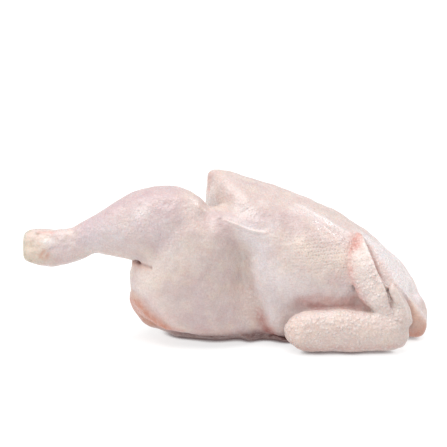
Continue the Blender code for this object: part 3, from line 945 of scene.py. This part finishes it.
@dataclass(frozen=True)
class Wing:
    """The folded wing.

    Attributes:
        tip: Places along the tip, each with half the width there, in millimetres.
        tip_margin: How far the tip's own skin reaches, as a share of half its width.
        tip_fade: The width over which it fades, as the same share.
        tip_slack: How far behind the tip's middle its skin still lies, in millimetres.
        tip_share: How much of the wing's finish the tip has.
        forearm_reach: How far the forearm's skin reaches from its bone, in millimetres.
        hand_reach: How far the hand's skin reaches from its bone, in millimetres.
        reach_fade: The width over which that skin fades, in millimetres.
        back: How far back that skin reaches, in millimetres.
        back_fade: The depth over which it fades there, in millimetres.
    """

    tip: ClassVar[tuple[Station, ...]] = (
        (98.0, 3, 82.8, 1.4),
        (98.2, 1, 81.0, 3.6),
        (98.6, -5, 77.5, 5.8),
        (99.3, -13, 71.3, 8.3),
        (100.6, -20, 63.5, 10.3),
        (102.4, -25, 55.5, 11.7),
        (104.6, -28, 49.0, 12.2),
        (107.3, -31, 42.2, 11.7),
        (110.8, -32, 37.0, 10.2),
        (115.5, -33, 32.0, 6.6),
        (118.5, -33, 26.0, 4.5),
    )
    tip_margin: float = 1.2
    tip_fade: float = 0.2
    tip_slack: float = 3.0
    tip_share: float = 0.7
    forearm_reach: float = 20.0
    hand_reach: float = 13.0
    reach_fade: float = 3.0
    back: float = -22.0
    back_fade: float = 4.0

    def presses(self) -> list[Stroke]:
        """Lists the strokes that make room for the tip and the thumb."""
        tip = ((99, -10, 72), (99, -17, 65), (101, -23, 56), (105, -27, 46))
        upper_tip = ((99, 3, 79), (99, -4, 76))
        gap = ((108, -7, 73), (111, -15, 67), (115, -21, 58), (118, -26, 50), (119, -29, 46))
        upper_gap = ((104, 2, 80), (106, -3, 76), (108, -8, 72))
        shoulder = ((96, -26, 36), (100, -28, 34), (104, -30, 33), (108, -31, 32))
        thumb = ((122, -25, 54), (124, -29, 46), (127, -31, 38))
        return [
            Stroke(tip, 7, -5),
            Stroke(upper_tip, 5.5, -2.2),
            Stroke(gap, 3.5, -4.5),
            Stroke(upper_gap, 3.5, -4.5),
            Stroke(shoulder, 3, -4.5),
            Stroke(thumb, 4, -3.5),
        ]

    def blades(self) -> list[Blade]:
        """Lists the tip and the thumb, which stand free of the breast along their right edges."""
        thumb = (
            (121.6, -25, 53.0, 0.5),
            (121.9, -28, 49.5, 2.3),
            (123.2, -30, 45.5, 3.6),
            (125.2, -31, 41.0, 4.5),
            (127.6, -31, 35.0, 5.0),
            (129.4, -30, 28.0, 5.2),
        )
        return [Blade(self.tip, 1.7, 3.2, lean=14.0), Blade(thumb, 2.0, 2.8, lean=8.0)]

    def strokes(self) -> list[Stroke]:
        """Lists the strokes that shape and tint the wing and the skin beside it, with painted shadow in the
        gaps, folds and armpit and a painted highlight along the tip's right edge.
        """
        upper_tip = ((98.5, -3, 78), (98.8, -12, 72), (100, -20, 64))
        tip = (*upper_tip, (102, -26, 56), (106, -30, 48), (111, -33, 38))
        left = ((94, -2, 79), (91.5, -10, 73), (90.5, -17, 67), (91, -22, 58), (94, -27, 49), (101, -31, 38))
        upper_right = ((101, -6, 80), (103.5, -12, 76.5), (106, -18, 71), (108, -22, 65))
        right = (*upper_right, (111, -26, 59), (115, -30, 51), (119, -31, 43))
        gap = ((105, 14, 75), (107, 7, 70), (109, 0, 65), (111, -5, 61), (113, -9, 56), (116, -12, 51))
        beside_right = ((110, 8, 69), (114, 2, 64), (117, -2, 58), (121, -5, 52), (125, -8, 45))
        beside_thumb = ((119.6, -29, 44), (120.5, -32, 40), (121.8, -34, 36))
        apex = ((97, 4, 83), (99, 2, 81), (97.5, -4, 79), (96, -9, 76))
        thumb = ((122.5, -29, 48), (124.5, -33, 42), (127, -34, 36))
        thumb_right = ((126, -31, 47), (129, -32, 41), (132, -33, 35), (133.5, -34, 29))
        wrist_right = ((134, -8, 38), (137, -8, 30), (139, -8, 22), (139, -8, 12))
        armpit = ((54, -23, 36), (66, -25, 38), (82, -24, 37), (95, -25, 39))
        deepest = ((62, -23, 33), (80, -22, 32), (92, -23, 33), (99, -25, 34), (105, -28, 33))
        forearm = ((52, -36, 18), (84, -38, 18), (116, -38, 19))
        underside = ((50, -36, 6), (62, -40, 5), (85, -41, 5), (108, -41, 5), (124, -39, 6))
        elbow = ((45, -34, 15), (49, -38, 9))
        wrist = ((112, -38, 22), (124, -36, 28), (126, -37, 16))
        heel = ((134, -32, 12), (131, -34, 7))
        wrist_folds = (((124, -38, 27), (130, -36, 24)), ((123, -38, 23), (129, -37, 20)))
        return [
            Stroke(tip, 6, spread=1.1, pale=0.2, cream=0.5, wet=0.25),
            Stroke(beside_right, 4, cream=0.6, flesh=0.3),
            # painted shadow in the gap between the tip and the breast
            Stroke(gap, 2.8, crease=0.8, flesh=0.3),
            Stroke(left, 2.4, spread=1.2, blush=0.55),
            # the tip's right edge is raised a little and lightened with a painted highlight
            Stroke(right, 1.6, 0.5, spread=1.2, cream=0.6, wet=0.7),
            Stroke(forearm, 15, cream=0.6, blush=0.12, wet=0.25),
            Stroke(wrist, 11, cream=0.3, wet=0.2),
            # the forearm's underside is pinkish, and darkened with painted shade near the table
            Stroke(underside, 3.5, blush=0.35, crease=0.2),
            Stroke(apex, 3.5, spread=1.2, blush=0.85, flesh=0.4),
            Stroke(thumb, 3.5, cream=0.5, wet=0.3),
            Stroke(thumb_right, 1.5, 0.3, cream=0.5, wet=0.6),
            # painted shade between the wrist and the neck, and in the gap beside the thumb
            Stroke(wrist_right, 1.8, crease=0.3),
            Stroke(beside_thumb, 1.3, -1.2, crease=0.6),
            Stroke(armpit, 4.5, -0.8, spread=1.1, blush=0.45),
            # painted shade deep in the armpit
            Stroke(deepest, 2.4, -0.8, spread=1.1, blush=0.5, crease=0.25),
            Stroke(elbow, 9, blush=0.15, cream=0.4),
            Stroke(heel, 6, 3),
            # painted shade in the wrist's folds
            *(Stroke(fold, 0.9, -0.5, crease=0.25) for fold in wrist_folds),
        ]

    def tip_cover(self, clay: Clay) -> np.ndarray:
        """Finds the skin of the tip, which lies in front of the breast.

        Args:
            clay: The bird.

        Returns:
            A number from 0 off the tip to tip_share on it, for each point.
        """
        x, y, z = clay.points.T / MM
        middle, depth, level, half = np.array(self.tip[::-1]).T
        across = np.abs(x - np.interp(z, level, middle)) / np.interp(z, level, half)
        before = np.interp(z, level, depth) + self.tip_slack - y
        share = ramp(self.tip_margin - across, self.tip_fade) * np.clip(before / 2, 0, self.tip_share)
        return share * ((z > level[0]) & (z < level[-1] + 2))

    def cover(self, clay: Clay) -> np.ndarray:
        """Finds the wing's own skin.

        Args:
            clay: The bird.

        Returns:
            A number from 0 off the wing to 1 on it, for each point.
        """
        forearm = ((48, -27, 17), (85, -28, 17), (124, -26, 17))
        hand = ((98, 2, 81), (99, -17, 66), (103, -26, 53), (111, -31, 38), (121, -33, 30))
        share = np.zeros(len(clay.points))
        for bone, reach in ((forearm, self.forearm_reach), (hand, self.hand_reach)):
            away = clay.distance(bone, reach * MM)
            share = np.maximum(share, ramp(reach * MM - away, self.reach_fade * MM))
        share *= ramp(self.back - clay.points[:, 1] / MM, self.back_fade)
        return np.maximum(share, self.tip_cover(clay))


@dataclass(frozen=True)
class CutSide:
    """The face that the bird was split along, and the open chest behind it. Sizes are in millimetres.

    Attributes:
        hollow: Places along the bird with the hollow's top, bottom and depth.
        wall: How much wider than the hollow its lining is looked for, as a share.
        skin_thickness: The thickness of the skin at the cut.
        fat_thickness: The thickness of the fat under it.
        keel_places: Places along the bird at which the height of the keel's lower edge is given.
        keel_border: The height of the keel's lower edge at each of them.
        keel_margin: How far the keel's bone stays from the fat.
        spine_height: The height of the backbone's top.
        spine_pitch: The length of a vertebra with the gristle behind it.
        bone_share: The share of that length that is bone.
        core_share: The share of that length that is marrow.
        core_margins: How far the marrow stays from the backbone's underside and its top.
        cord_height: How far the spinal cord's middle lies above the backbone.
        cord_half: Half the thickness of the spinal cord.
        rib_pitch: The distance from rib to rib.
        rib_slant: How far the ribs lean with height, as a share of it.
        rib_shift: Where the ribs are counted from.
        recess: How far the meat is sunk behind skin and bone.
        cord_recess: How far the spinal cord is sunk.
        gristle_recess: How far the gristle between vertebrae is sunk.
    """

    hollow: tuple[Station, ...] = (
        (-48.0, 48.0, 24.0, 18.0),
        (-26.3, 68.0, 18.0, 26.0),
        (8.7, 93.0, 15.0, 35.0),
        (48.7, 85.0, 13.0, 36.0),
        (88.7, 66.0, 12.0, 32.5),
        (126.0, 42.0, 13.0, 21.5),
    )
    wall: float = 1.15
    skin_thickness: float = 1.2
    fat_thickness: float = 1.6
    keel_places: tuple[float, ...] = (-20, 20, 100, 125, 150)
    keel_border: tuple[float, ...] = (62, 58, 46, 38, 30)
    keel_margin: float = 3.5
    spine_height: float = 8.0
    spine_pitch: float = 10.5
    bone_share: float = 0.82
    core_share: float = 0.5
    core_margins: tuple[float, float] = (2.2, 1.6)
    cord_height: float = 1.4
    cord_half: float = 1.1
    rib_pitch: float = 17.0
    rib_slant: float = 0.35
    rib_shift: float = -1.3
    recess: float = 0.8
    cord_recess: float = 0.9
    gristle_recess: float = 0.6

    def lining(self, points: np.ndarray) -> np.ndarray:
        """Tells how far each point is from the hollow's middle line, where 1 is on its wall."""
        along, top, low, depth = np.array(self.hollow).T
        x, y, z = points.T / MM
        high, bottom, deep = (np.interp(x, along, row) for row in (top, low, depth))
        middle, half = (high + bottom) / 2, (high - bottom) / 2
        share = np.hypot((z - middle) / half, (CUT_Y / MM - y) / deep)
        share[(x < along[0] - 3) | (x > along[-1] + 3)] = np.inf
        return share

    @staticmethod
    def gap_to(clay: Clay, wanted: np.ndarray, others: np.ndarray) -> np.ndarray:
        """Measures how far some points are from the nearest of others.

        Args:
            clay: The bird.
            wanted: Tells which points to measure from.
            others: Tells which points to measure to.

        Returns:
            The distances in millimetres, infinite where nothing was measured.
        """
        places = clay.points[others]
        tree = KDTree(len(places))
        for number, place in enumerate(places):
            tree.insert(place, number)
        tree.balance()
        found = np.full(len(clay.points), np.inf)
        found[wanted] = [tree.find(place)[2] / MM for place in clay.points[wanted]]
        return found

    def dress(self, clay: Clay) -> None:
        """Shapes and tints the cut face and the hollow.

        Args:
            clay: The bird.
        """
        x, y, z = clay.points.T / MM
        wander = clay.wander(9.0, seed=5)
        on_cut = (y > CUT_Y / MM - 1.2) & (clay.normals[:, 1] > 0.7)
        inside = (self.lining(clay.points) < self.wall) & ~on_cut & (x > -46)
        near_cut = y > CUT_Y / MM - 8
        to_skin = self.gap_to(clay, on_cut, near_cut & ~on_cut & ~inside) + wander
        to_hollow = self.gap_to(clay, on_cut, near_cut & inside) + wander
        rind = self.skin_thickness + self.fat_thickness
        meat = on_cut & (to_skin > rind)
        clay.tint(Mask.CREAM, clay.blur(on_cut & ~meat & (to_skin > self.skin_thickness), 1) * 0.9)
        clay.tint(Mask.MEAT, clay.blur(meat, 2))

        border = np.interp(x, self.keel_places, self.keel_border) + 3 * wander
        upper = np.clip((z - border) / 5 + 0.5, 0, 1)
        keel = meat * upper * ramp(to_skin - rind - self.keel_margin, 2) * ramp(to_hollow - 0.8, 1)
        clay.tint(Mask.BONE, clay.blur(keel, 3) * (0.72 + 0.2 * clay.wander(6.0, seed=6)))

        block = np.abs(((x + wander) / self.spine_pitch) % 1 - 0.5) * 2
        below = self.spine_height + 0.8 * wander
        spine = meat & (upper < 0.5) & (z < below) & (x > 12)
        clay.tint(Mask.BONE, clay.blur(spine & (block < self.bone_share), 2) * 0.85)
        core_low, core_top = self.core_margins
        core = spine & (block < self.core_share) & (z > core_low) & (z < below - core_top)
        clay.tint(Mask.MARROW, clay.blur(core, 3) * 0.6)
        in_cord = np.abs(z - below - self.cord_height) < self.cord_half
        cord = on_cut & (upper < 0.5) & in_cord & (x > 4) & (x < 140)
        clay.tint(Mask.PALE_AND_PAINTED_LIGHT, clay.blur(cord, 1) * 0.9)

        rib = np.cos(((x - self.rib_shift - self.rib_slant * z) / self.rib_pitch) * math.tau)
        rib = np.clip(rib, 0, 1) ** 2 * ramp(z - 20, 12) * ramp(x + 10, 10)
        lining = clay.blur(inside, 2) * ramp(x + 48, 14)
        clay.tint(Mask.HOLLOW, lining * 0.85)
        clay.tint(Mask.PALE_AND_PAINTED_LIGHT, lining * ramp(x - 95, 25) * 0.4)
        clay.tint(Mask.BONE, lining * rib * 0.6)
        clay.tint(Mask.MARROW, lining * ramp(34 - z, 18) * (0.35 + 0.3 * clay.wander(8.0, seed=7)))

        sunk = clay.blur(meat - keel, 1) * self.recess
        sunk += clay.blur(cord, 1) * self.cord_recess
        sunk += clay.blur(spine & (block > self.bone_share), 1) * self.gristle_recess
        sunk += clay.blur(meat, 2) * 0.5 * clay.wander(2.4, seed=8)
        clay.points[:, 1] -= sunk * MM
        clay.refresh()


@dataclass(frozen=True)
class Studio:
    """A white table lit from within, even light from above and a camera low in front.

    Attributes:
        target: The place that the camera looks at.
        distance: The camera's distance from it.
        elevation: The camera's height as an angle, in degrees.
        lens: The focal length, in millimetres.
        sensor: The width of the camera's sensor, in millimetres.
        table_white: How much light the table gives back.
        table_glow: How much light it gives by itself.
        glow_gap: How far from the bird the glow begins; nearer, it fades, which paints a shadow on the table.
        shadow: The glow left under the bird, a painted shadow tinted red.
        sky: The strength of the light from all round.
        heart: The place that the nearer lights face.
        table_drop: How far the table lies under the bird, which keeps the two from flickering.
    """

    target: Point = (-0.0032, -0.00215, 0.0915)
    distance: float = 1.1
    elevation: float = 15.0
    lens: float = 118.1
    sensor: float = 36.0
    table_white: float = 0.30
    table_glow: float = 0.72
    glow_gap: float = 0.005
    shadow: Colour = (0.05, 0.0, 0.0)
    sky: float = 0.62
    heart: Point = (0.0, 0.0, 0.05)
    table_drop: float = 0.0003

    def floor(self) -> bpy.types.Object:
        """Makes the table top, whose glow fades out near the bird as a painted contact shadow."""
        bpy.ops.mesh.primitive_plane_add(size=12.0, location=(0.0, 0.0, -self.table_drop))
        floor = bpy.context.object
        floor.name = "floor"
        shader = Shader("table")
        # the glow is cut off where the bird is near: a painted contact shadow on the table
        open_sky = shader.node("ShaderNodeAmbientOcclusion", {"samples": 8}, {"Distance": self.glow_gap})
        glow = shader.between(Value(shader, open_sky.outputs["AO"]), 0.0, 0.5)
        white = (self.table_white, self.table_white, self.table_white, 1.0)
        surface = shader.node(
            "ShaderNodeBsdfPrincipled",
            {},
            {
                "Base Color": white,
                "Roughness": 0.7,
                "Emission Color": shader.mix(glow, self.shadow, (1.0, 1.0, 1.0)),
                "Emission Strength": self.table_glow,
            },
        )
        floor.data.materials.append(shader.output(surface.outputs[0]))
        return floor

    def lights(self) -> None:
        """Makes the sky, the overhead light and the lights for the highlights."""
        world = bpy.data.worlds.new("sky")
        world.use_nodes = True
        background = world.node_tree.nodes["Background"]
        background.inputs["Color"].default_value = (1.0, 1.0, 1.0, 1.0)
        background.inputs["Strength"].default_value = self.sky
        bpy.context.scene.world = world
        self.sun("overhead", 2.5, 50.0, (0.12, 0.12, -1.0))
        self.panel("glint", 1.6, 0.24, (-0.62, 0.05, 0.92))
        self.panel("right_glint", 2.0, 0.24, (0.66, 0.42, 0.70))
        self.panel("side", 2.2, 0.70, (-1.00, -0.70, 0.50))

    @staticmethod
    def place(name: str, data: bpy.types.ID, spot: Vector, way: Vector) -> bpy.types.Object:
        """Puts a light or a camera in the scene.

        Args:
            name: Its name.
            data: The light or the camera.
            spot: Where it stands.
            way: The direction that it faces.

        Returns:
            The object.
        """
        placed = bpy.data.objects.new(name, data)
        placed.location = spot
        placed.rotation_mode = "QUATERNION"
        placed.rotation_quaternion = way.to_track_quat("-Z", "Y")
        bpy.context.scene.collection.objects.link(placed)
        return placed

    def sun(self, name: str, strength: float, spread: float, direction: Point) -> None:
        """Adds a distant light.

        Args:
            name: Its name.
            strength: Its strength, in watts for each square metre.
            spread: How wide it looks from the table, in degrees.
            direction: The way that its light travels.
        """
        data = bpy.data.lights.new(name, "SUN")
        data.energy = strength
        data.angle = math.radians(spread)
        self.place(name, data, Vector(), Vector(direction))

    def panel(self, name: str, power: float, size: float, spot: Point) -> None:
        """Adds a square light that faces the bird.

        Args:
            name: Its name.
            power: Its power, in watts.
            size: Its side, in metres.
            spot: Where it stands.
        """
        data = bpy.data.lights.new(name, "AREA")
        data.energy = power
        data.size = size
        self.place(name, data, Vector(spot), Vector(self.heart) - Vector(spot))

    def camera(self) -> None:
        """Sets the camera."""
        angle = math.radians(self.elevation)
        back = Vector((0.0, -math.cos(angle), math.sin(angle)))
        data = bpy.data.cameras.new("camera")
        data.sensor_width = self.sensor
        data.lens = self.lens
        data.clip_end = 50.0
        spot = Vector(self.target) + back * self.distance
        bpy.context.scene.camera = self.place("camera", data, spot, -back)

    def build(self) -> None:
        """Builds the whole studio."""
        self.floor()
        self.lights()
        self.camera()
        bpy.context.scene.view_settings.view_transform = "Standard"


@dataclass(frozen=True)
class Bird:
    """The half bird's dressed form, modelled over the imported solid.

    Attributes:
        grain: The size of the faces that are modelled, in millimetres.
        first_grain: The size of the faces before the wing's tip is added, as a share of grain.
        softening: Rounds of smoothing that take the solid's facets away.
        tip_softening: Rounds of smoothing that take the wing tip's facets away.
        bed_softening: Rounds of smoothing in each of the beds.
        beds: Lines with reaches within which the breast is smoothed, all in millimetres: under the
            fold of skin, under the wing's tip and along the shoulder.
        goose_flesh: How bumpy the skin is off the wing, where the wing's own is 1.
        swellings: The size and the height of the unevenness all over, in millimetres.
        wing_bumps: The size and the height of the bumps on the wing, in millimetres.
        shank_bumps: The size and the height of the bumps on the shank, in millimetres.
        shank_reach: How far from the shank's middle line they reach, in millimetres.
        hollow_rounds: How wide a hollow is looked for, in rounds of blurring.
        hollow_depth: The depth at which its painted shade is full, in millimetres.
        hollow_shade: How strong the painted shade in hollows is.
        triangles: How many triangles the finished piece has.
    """

    grain: float = 0.85
    first_grain: float = 1.4
    softening: int = 5
    tip_softening: int = 14
    bed_softening: int = 70
    beds: tuple[tuple[tuple[Point, ...], float], ...] = (
        (((-6, 4, 103), (6, -4, 102), (18, -9, 96), (34, -12, 90)), 9.0),
        (((98, 10, 82), (94, 0, 78), (90, -10, 72)), 9.0),
        (((58, 5, 96), (71, 2, 90), (81, 0, 84), (91, -1, 79)), 12.0),
    )
    goose_flesh: float = 0.22
    swellings: tuple[tuple[float, float], ...] = ((18.0, 1.0), (6.0, 0.35))
    wing_bumps: tuple[float, float] = (2.8, 0.28)
    shank_bumps: tuple[float, float] = (3.2, 0.45)
    shank_reach: float = 12.0
    hollow_rounds: int = 12
    hollow_depth: float = 1.4
    hollow_shade: float = 0.25
    triangles: int = 196000

    def blank(self) -> bpy.types.Object:
        """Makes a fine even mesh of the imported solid's form, with the wing's tip set apart from it.

        Returns:
            The object that carries it.
        """
        blank = bpy.data.objects.new("bird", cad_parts[NODE].data.copy())
        bpy.context.scene.collection.objects.link(blank)
        blank.modifiers.new("weld", "WELD").merge_threshold = 0.01 * MM
        self.even_out(blank, self.first_grain * self.grain)
        clay = Clay(blank.data)
        clay.soften(self.softening)
        wing = Wing()
        clay.pull(wing.presses())
        for path, reach in self.beds:
            clay.soften(self.bed_softening, clay.wash(path, reach))
        joined = bmesh.new()
        joined.from_mesh(blank.data)
        for blade in wing.blades():
            blade.add_to(joined)
        bmesh.ops.recalc_face_normals(joined, faces=joined.faces)
        joined.to_mesh(blank.data)
        joined.free()
        self.even_out(blank, self.grain)
        return blank

    def even_out(self, piece: bpy.types.Object, size: float) -> None:
        """Rebuilds the piece's mesh from faces of one size, which also joins what overlaps.

        Args:
            piece: The piece.
            size: The size of a face, in millimetres.
        """
        remesh = piece.modifiers.new("even", "REMESH")
        remesh.mode = "VOXEL"
        remesh.voxel_size = size * MM
        self.settle(piece)

    @staticmethod
    def settle(piece: bpy.types.Object) -> None:
        """Puts the piece's evaluated mesh in place of its modifiers."""
        graph = bpy.context.evaluated_depsgraph_get()
        settled = bpy.data.meshes.new_from_object(piece.evaluated_get(graph))
        piece.modifiers.clear()
        piece.data = settled
        settled.name = piece.name
        settled.shade_smooth()

    def thin(self, piece: bpy.types.Object) -> None:
        """Takes faces away where the shape needs them least."""
        piece.data.calc_loop_triangles()
        collapse = piece.modifiers.new("thin", "DECIMATE")
        collapse.ratio = self.triangles / len(piece.data.loop_triangles)
        self.settle(piece)

    def build(self) -> bpy.types.Object:
        """Models and dresses the bird.

        Returns:
            The finished piece.
        """
        piece = self.blank()
        clay = Clay(piece.data)
        clay.soften(self.softening)
        leg, breast, wing = Leg(), Breast(), Wing()
        clay.soften(self.tip_softening, wing.tip_cover(clay))
        CutSide().dress(clay)
        for part in (leg, breast, wing):
            clay.pull(part.strokes())
        on_wing = wing.cover(clay)
        clay.tint(Mask.BUMPY, np.maximum(on_wing, self.goose_flesh))
        for seed, (size, height) in enumerate(self.swellings, start=1):
            clay.roughen(size, height, seed=seed)
        clay.roughen(*self.wing_bumps, on_wing, seed=3)
        clay.roughen(*self.shank_bumps, clay.wash(leg.shank, self.shank_reach), seed=4)
        # painted shade in the hollows, left out where the end of the breast meets the leg
        hollows = clay.hollows(self.hollow_rounds, self.hollow_depth)
        hollows = hollows * (1 - clay.wash(breast.end_corner, breast.corner_reach))
        clay.tint(Mask.CREASE, hollows * self.hollow_shade)
        leg.paint_shade_above_table(clay)
        clay.keep_inside(*CAD_BOX)
        clay.store_masks()
        self.thin(piece)
        piece.data.materials.clear()
        piece.data.materials.append(RawFinish().material())
        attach(piece, BODY)
        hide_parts(NODE)
        LOG.info("%s: %d points, %d faces", piece.name, len(piece.data.vertices), len(piece.data.polygons))
        return piece


def main() -> None:
    """Builds the studio and the bird."""
    logging.basicConfig(level=logging.INFO, format="%(name)s: %(message)s")
    Studio().build()
    Bird().build()


if __name__ == "__main__":
    main()
